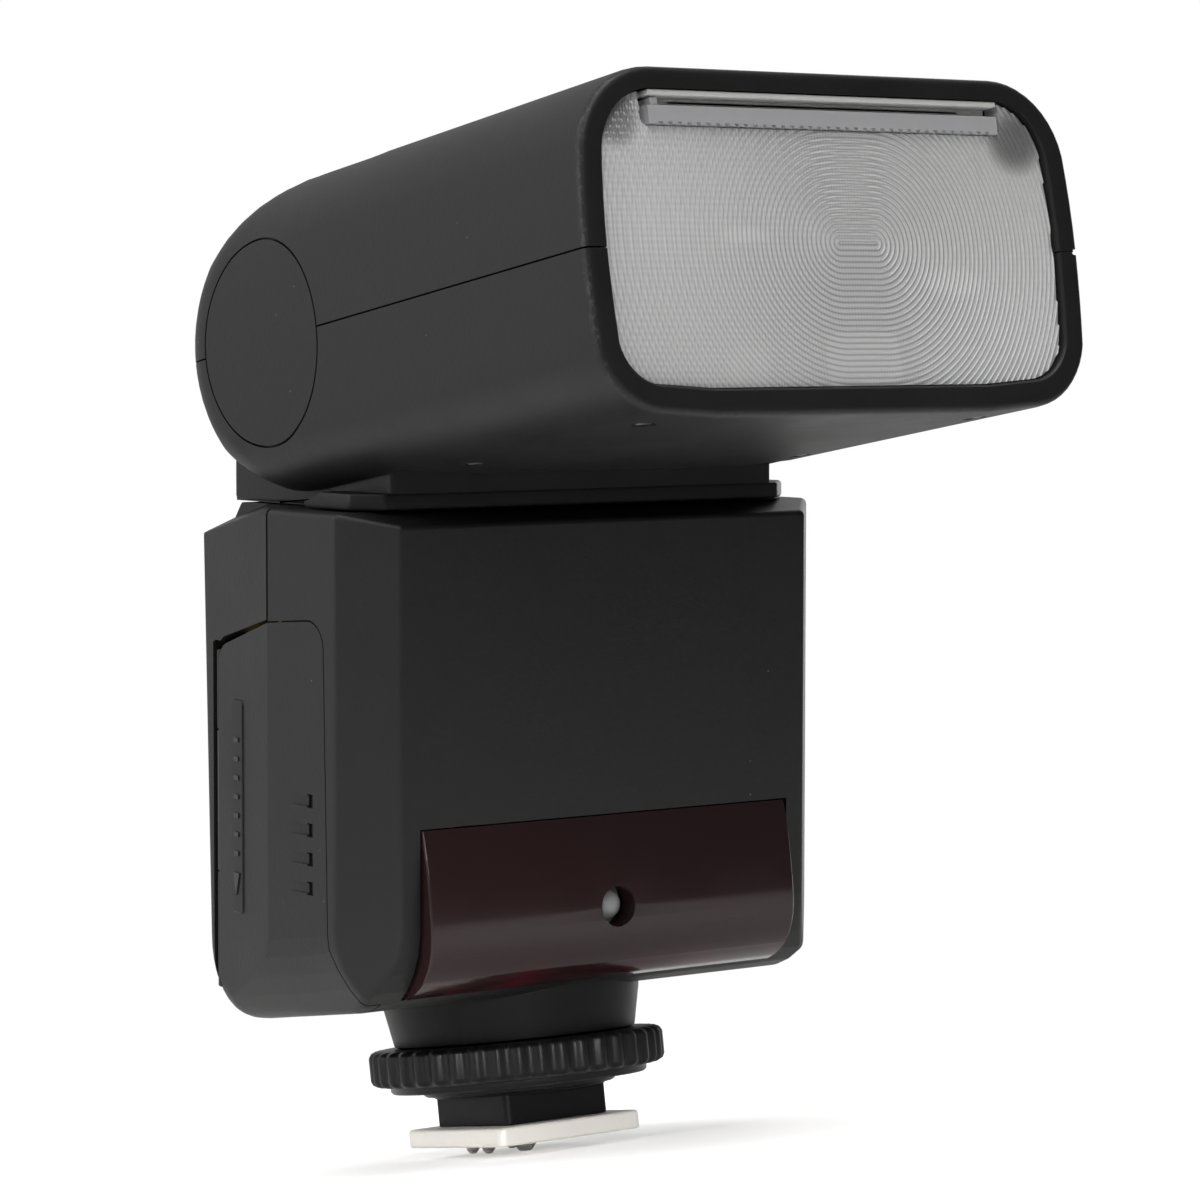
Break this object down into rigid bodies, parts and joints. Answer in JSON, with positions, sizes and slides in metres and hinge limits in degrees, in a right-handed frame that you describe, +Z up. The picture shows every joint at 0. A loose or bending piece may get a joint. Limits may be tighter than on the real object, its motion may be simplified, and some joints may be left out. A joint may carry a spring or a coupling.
{
  "type": "shoe-mount speedlight flash",
  "caption": "Compact shoe-mount electronic flash with a tilting, swivelling zoom head, rear controls, side battery door and fluted lock wheel.",
  "frame": {"origin": "centre of the underside of the shoe foot plate", "axes": "+Z up, square to the foot plate; -Y the way the foot slides forwards into a camera's shoe and the way the lens and red window face; +X to the right when looking along +Y at the lens side"},
  "size_m": [0.0622, 0.0859, 0.1041],
  "materials": {
    "black_body": "satin-matte moulded, fine grain",
    "gloss_black": "gloss",
    "key_black": "satin",
    "key_red": "satin",
    "rubber_black": "matte",
    "red_lens": "polished dark red",
    "lamp_red": "clear red",
    "clear_lens": "clear moulded",
    "display_glass": "clear",
    "display_grey": "matte",
    "white_card": "matte",
    "tube_glass": "clear",
    "mirror_metal": "bright",
    "board_green": "solder mask",
    "dark_plastic": "matte",
    "foot_metal": "bead blasted",
    "contact_metal": "plated",
    "steel": "machined",
    "cell_wrap": "printed foil"
  },
  "bodies": {
    "body": {"front_housing": "black_body", "rear_housing": "black_body", "red_window": "red_lens", "light_sensor": "clear_lens", "assist_lamp": "lamp_red", "control_panel": "gloss_black", "lcd_window": "display_glass", "lcd_module": "display_grey", "main_board": "board_green", "power_board": "board_green", "capacitor": "dark_plastic", "transformer": "dark_plastic", "battery_tray": "dark_plastic", "battery_cells": "cell_wrap", "battery_contacts": "contact_metal", "battery_springs": "contact_metal", "dial_encoder": "dark_plastic", "sync_jack": "dark_plastic", "usb_port": "steel", "housing_screws": "steel", "foot_stem": "black_body", "foot_plate": "foot_metal", "foot_screws": "steel", "centre_spring": "contact_metal", "signal_springs": "contact_metal"},
    "turret": {"turret_base": "black_body", "turret_rear": "black_body", "pivot_tube": "steel", "retaining_ring": "steel", "tilt_axles": "steel", "detent_plunger": "steel"},
    "head": {"head_upper": "black_body", "head_lower": "black_body", "hinge_caps": "black_body", "lens_frame": "gloss_black", "fresnel_lens": "clear_lens", "zoom_motor": "steel", "guide_rods": "steel", "head_screws": "steel"},
    "zoom_carriage": {"reflector": "mirror_metal", "flash_tube": "tube_glass"},
    "zoom_screw": {"lead_screw": "steel"},
    "wide_panel": {"wide_panel": "clear_lens"},
    "bounce_card": {"bounce_card": "white_card"},
    "door_slider": {"door_slider": "dark_plastic", "door_hinge_pin": "steel"},
    "door": {"battery_door": "black_body"},
    "clamp": {"clamp_ring": "black_body"},
    "wheel": {"lock_wheel": "black_body"},
    "mode_key": {"mode_button": "key_black"},
    "menu_key": {"menu_button": "key_black"},
    "wireless_key": {"wireless_button": "key_black"},
    "test_key": {"test_button": "key_red"},
    "power_slider": {"power_switch": "key_black"},
    "dial": {"select_dial": "key_black"},
    "set_key": {"set_button": "key_black"},
    "port_flap": {"port_cover": "rubber_black"},
    "centre_pin": {"centre_contact": "contact_metal"},
    "signal_pins": {"signal_contacts": "contact_metal"}
  },
  "joints": [
    {"name": "head_swivel", "type": "hinge", "parent": "body", "child": "turret", "pos_m": [0, -0.00796, 0.06945], "axis": [0, -0.165, 0.9863], "range_deg": [-90, 180]},
    {"name": "head_tilt", "type": "hinge", "parent": "turret", "child": "head", "pos_m": [0, -0.01063, 0.08542], "axis": [-1, 0, 0], "range_deg": [0, 90]},
    {"name": "zoom_slide", "type": "slide", "parent": "head", "child": "zoom_carriage", "axis": [0, -1, 0], "range_m": [-0.011, 0.005]},
    {"name": "zoom_screw_turn", "type": "hinge", "parent": "head", "child": "zoom_screw", "pos_m": [-0.0252, -0.04063, 0.07942], "axis": [0, -1, 0], "range_deg": [-1321, 601]},
    {"name": "wide_panel_slide", "type": "slide", "parent": "head", "child": "wide_panel", "axis": [0, -1, 0], "range_m": [0, 0.029]},
    {"name": "bounce_card_slide", "type": "slide", "parent": "head", "child": "bounce_card", "axis": [0, -1, 0], "range_m": [0, 0.027]},
    {"name": "door_slide", "type": "slide", "parent": "body", "child": "door_slider", "axis": [0, 0.165, -0.9863], "range_m": [0, 0.003]},
    {"name": "door_swing", "type": "hinge", "parent": "door_slider", "child": "door", "pos_m": [-0.0279, 0.00936, 0.03686], "axis": [0, 0.165, -0.9863], "range_deg": [0, 90]},
    {"name": "wheel_turn", "type": "hinge", "parent": "clamp", "child": "wheel", "pos_m": [0, 0, 0.009], "axis": [0, 0, -1], "range_deg": [0, 300]},
    {"name": "clamp_slide", "type": "slide", "parent": "body", "child": "clamp", "axis": [0, 0, -1], "range_m": [0, 0.0012]},
    {"name": "mode_press", "type": "slide", "parent": "body", "child": "mode_key", "axis": [0, -0.9863, -0.165], "range_m": [0, 0.0004], "stiffness_N_per_m": 400, "springref_m": -0.0002},
    {"name": "menu_press", "type": "slide", "parent": "body", "child": "menu_key", "axis": [0, -0.9863, -0.165], "range_m": [0, 0.0004], "stiffness_N_per_m": 400, "springref_m": -0.0002},
    {"name": "wireless_press", "type": "slide", "parent": "body", "child": "wireless_key", "axis": [0, -0.9863, -0.165], "range_m": [0, 0.0004], "stiffness_N_per_m": 400, "springref_m": -0.0002},
    {"name": "test_press", "type": "slide", "parent": "body", "child": "test_key", "axis": [0, -0.9863, -0.165], "range_m": [0, 0.0004], "stiffness_N_per_m": 400, "springref_m": -0.0002},
    {"name": "set_press", "type": "slide", "parent": "body", "child": "set_key", "axis": [0, -0.9863, -0.165], "range_m": [0, 0.0004], "stiffness_N_per_m": 400, "springref_m": -0.0002},
    {"name": "power_slide", "type": "slide", "parent": "body", "child": "power_slider", "axis": [1, 0, 0], "range_m": [0, 0.0034]},
    {"name": "dial_turn", "type": "hinge", "parent": "body", "child": "dial", "pos_m": [0, 0.01413, 0.03259], "axis": [0, 0.9863, 0.165], "continuous": true},
    {"name": "port_flap_swing", "type": "hinge", "parent": "body", "child": "port_flap", "pos_m": [0.0287, 0.00742, 0.03755], "axis": [0, -0.165, 0.9863], "range_deg": [0, 100]},
    {"name": "centre_pin_press", "type": "slide", "parent": "body", "child": "centre_pin", "axis": [0, 0, 1], "range_m": [0, 0.0011], "stiffness_N_per_m": 300, "springref_m": -0.0003, "deforming": ["centre_spring"]},
    {"name": "signal_pins_press", "type": "slide", "parent": "body", "child": "signal_pins", "axis": [0, 0, 1], "range_m": [0, 0.0011], "stiffness_N_per_m": 300, "springref_m": -0.0003, "deforming": ["signal_springs"]}
  ],
  "couplings": [
    {"joint": "zoom_screw_turn", "follows": "zoom_slide", "rad_per_m": 2094.4},
    {"joint": "clamp_slide", "follows": "wheel_turn", "m_per_rad": 0.00022918}
  ]
}
